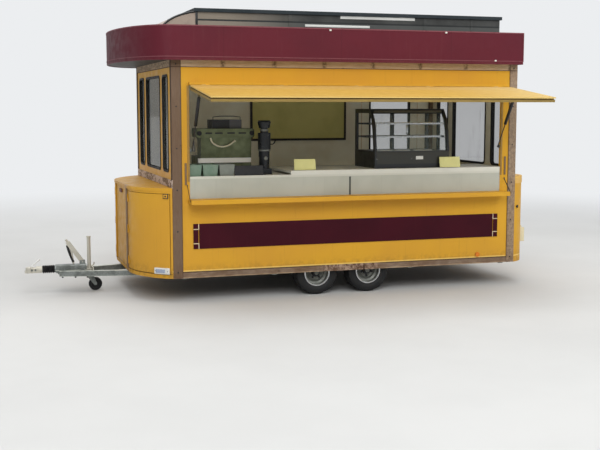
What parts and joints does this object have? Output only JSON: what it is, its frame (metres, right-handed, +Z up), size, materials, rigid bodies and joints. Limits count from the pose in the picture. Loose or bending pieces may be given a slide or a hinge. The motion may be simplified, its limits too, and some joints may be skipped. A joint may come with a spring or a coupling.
{
  "type": "food trailer",
  "caption": "Box-bodied kiosk trailer with a serving hatch and awning, bowed fascia and locker, overrun drawbar, jockey wheel and close-coupled axles.",
  "frame": {"origin": "centre of the tow ball inside the coupling head", "axes": "+X rearwards along the trailer, +Y away from the serving hatch, +Z up"},
  "size_m": [5.405, 3.1583, 2.93],
  "materials": {
    "galvanised_steel": "dull galvanised, weathered",
    "black_steel": "black paint, dusty",
    "wheel_steel": "grey paint, satin",
    "tyre_rubber": "worn matt rubber",
    "black_rubber": "matt",
    "white_metal": "white paint",
    "floor_board": "phenolic faced board",
    "weathered_timber": "bare, grey, worn",
    "yellow_panel": "yellow gloss paint on faced board, chalky",
    "window_glass": "clear, slightly grey",
    "maroon_board": "maroon satin film",
    "sign_maroon": "dark maroon film",
    "roof_sheet": "grey weathered sheet",
    "soffit_board": "painted board",
    "lamp_lens": "orange and red lens",
    "black_strut": "black, satin",
    "bright_rod": "polished",
    "dark_steel": "dull",
    "counter_white": "pale grey laminate",
    "menu_face": "pale board with a dark frame",
    "machine_steel": "brushed",
    "box_plastic": "green plastic"
  },
  "bodies": {
    "trailer": {"chassis": "galvanised_steel", "overrun_housing": "galvanised_steel", "coupling_head": "galvanised_steel", "handbrake_lever": "galvanised_steel", "jockey_leg": "galvanised_steel", "axles": "black_steel", "display_case": "black_steel", "coffee_grinder": "black_steel", "drawshaft_bellows": "black_rubber", "coupling_handle": "white_metal", "floor": "floor_board", "timber_frame": "weathered_timber", "hatch_wall": "yellow_panel", "far_wall": "yellow_panel", "front_wall": "yellow_panel", "rear_wall": "yellow_panel", "front_locker": "yellow_panel", "rear_locker": "yellow_panel", "front_glass": "window_glass", "rear_glass": "window_glass", "display_glass": "window_glass", "fascia": "maroon_board", "sign_board": "sign_maroon", "roof_deck": "roof_sheet", "roof_lantern": "roof_sheet", "soffit": "soffit_board", "lamps": "lamp_lens", "hatch_brackets": "black_strut", "counter": "counter_white", "back_counter": "counter_white", "menu_board": "menu_face", "espresso_machine": "machine_steel", "storage_boxes": "box_plastic"},
    "jockey_castor": {"jockey_fork": "galvanised_steel"},
    "jockey_roller": {"jockey_wheel": "black_rubber"},
    "awning_flap": {"awning": "yellow_panel"},
    "strut_front_tube": {"strut_tube_front": "black_strut"},
    "strut_rear_tube": {"strut_tube_rear": "black_strut"},
    "strut_front_rod": {"strut_rod_front": "bright_rod"},
    "strut_rear_rod": {"strut_rod_rear": "bright_rod"},
    "shelf": {"serving_shelf": "yellow_panel"},
    "stays": {"shelf_stays": "dark_steel"},
    "locker_near": {"locker_door_near": "yellow_panel"},
    "locker_far": {"locker_door_far": "yellow_panel"},
    "door": {"entrance_door": "yellow_panel", "door_glass": "window_glass"},
    "wheel_near_front": {"tyre_near_front": "tyre_rubber", "rim_near_front": "wheel_steel"},
    "wheel_near_rear": {"tyre_near_rear": "tyre_rubber", "rim_near_rear": "wheel_steel"},
    "wheel_far_front": {"tyre_far_front": "tyre_rubber", "rim_far_front": "wheel_steel"},
    "wheel_far_rear": {"tyre_far_rear": "tyre_rubber", "rim_far_rear": "wheel_steel"}
  },
  "joints": [
    {"name": "wheel_near_front_spin", "type": "hinge", "parent": "trailer", "child": "wheel_near_front", "pos_m": [2.85441, -0.8925, -0.015], "axis": [0, 1, 0], "continuous": true},
    {"name": "wheel_near_rear_spin", "type": "hinge", "parent": "trailer", "child": "wheel_near_rear", "pos_m": [3.42441, -0.8925, -0.015], "axis": [0, 1, 0], "continuous": true},
    {"name": "wheel_far_front_spin", "type": "hinge", "parent": "trailer", "child": "wheel_far_front", "pos_m": [2.85441, 0.8925, -0.015], "axis": [0, 1, 0], "continuous": true},
    {"name": "wheel_far_rear_spin", "type": "hinge", "parent": "trailer", "child": "wheel_far_rear", "pos_m": [3.42441, 0.8925, -0.015], "axis": [0, 1, 0], "continuous": true},
    {"name": "jockey_swivel", "type": "hinge", "parent": "trailer", "child": "jockey_castor", "pos_m": [0.619, 0, -0.068], "axis": [0, 0, 1], "continuous": true},
    {"name": "jockey_wheel_spin", "type": "hinge", "parent": "jockey_castor", "child": "jockey_roller", "pos_m": [0.681, 0, -0.17], "axis": [0, 1, 0], "continuous": true},
    {"name": "awning_hinge", "type": "hinge", "parent": "trailer", "child": "awning_flap", "pos_m": [3.219, -1.108, 1.918], "axis": [1, 0, 0], "range_deg": [0, 82.5]},
    {"name": "strut_front_swing", "type": "hinge", "parent": "awning_flap", "child": "strut_front_tube", "pos_m": [1.537, -1.35914, 1.81837], "axis": [1, 0, 0], "range_deg": [-111.86, 0.5]},
    {"name": "strut_front_slide", "type": "slide", "parent": "strut_front_tube", "child": "strut_front_rod", "axis": [0, 0.533, -0.8461], "range_m": [-0.2626, 0.003]},
    {"name": "strut_rear_swing", "type": "hinge", "parent": "awning_flap", "child": "strut_rear_tube", "pos_m": [4.909, -1.35914, 1.81837], "axis": [1, 0, 0], "range_deg": [-111.86, 0.5]},
    {"name": "strut_rear_slide", "type": "slide", "parent": "strut_rear_tube", "child": "strut_rear_rod", "axis": [0, 0.533, -0.8461], "range_m": [-0.2626, 0.003]},
    {"name": "shelf_fold", "type": "hinge", "parent": "trailer", "child": "shelf", "pos_m": [3.219, -1.05, 0.795], "axis": [-1, 0, 0], "range_deg": [0, 90]},
    {"name": "shelf_stay_swing", "type": "hinge", "parent": "trailer", "child": "stays", "pos_m": [3.219, -1.058, 0.935], "axis": [1, 0, 0], "range_deg": [0, 45.2]},
    {"name": "locker_door_near_hinge", "type": "hinge", "parent": "trailer", "child": "locker_near", "pos_m": [0.97281, -0.45428, 0.46], "axis": [0, 0, -1], "range_deg": [0, 105]},
    {"name": "locker_door_far_hinge", "type": "hinge", "parent": "trailer", "child": "locker_far", "pos_m": [0.97281, 0.45428, 0.46], "axis": [0, 0, 1], "range_deg": [0, 105]},
    {"name": "entrance_door_hinge", "type": "hinge", "parent": "trailer", "child": "door", "pos_m": [4.8705, 1.049, 1.06], "axis": [0, 0, 1], "range_deg": [-110, 0]}
  ],
  "couplings": [
    {"joint": "strut_front_swing", "follows": "awning_hinge", "ratio": -1.3498},
    {"joint": "strut_front_slide", "follows": "awning_hinge", "m_per_rad": -0.18032},
    {"joint": "strut_rear_swing", "follows": "awning_hinge", "ratio": -1.3498},
    {"joint": "strut_rear_slide", "follows": "awning_hinge", "m_per_rad": -0.18032},
    {"joint": "shelf_stay_swing", "follows": "shelf_fold", "ratio": 0.49134}
  ]
}
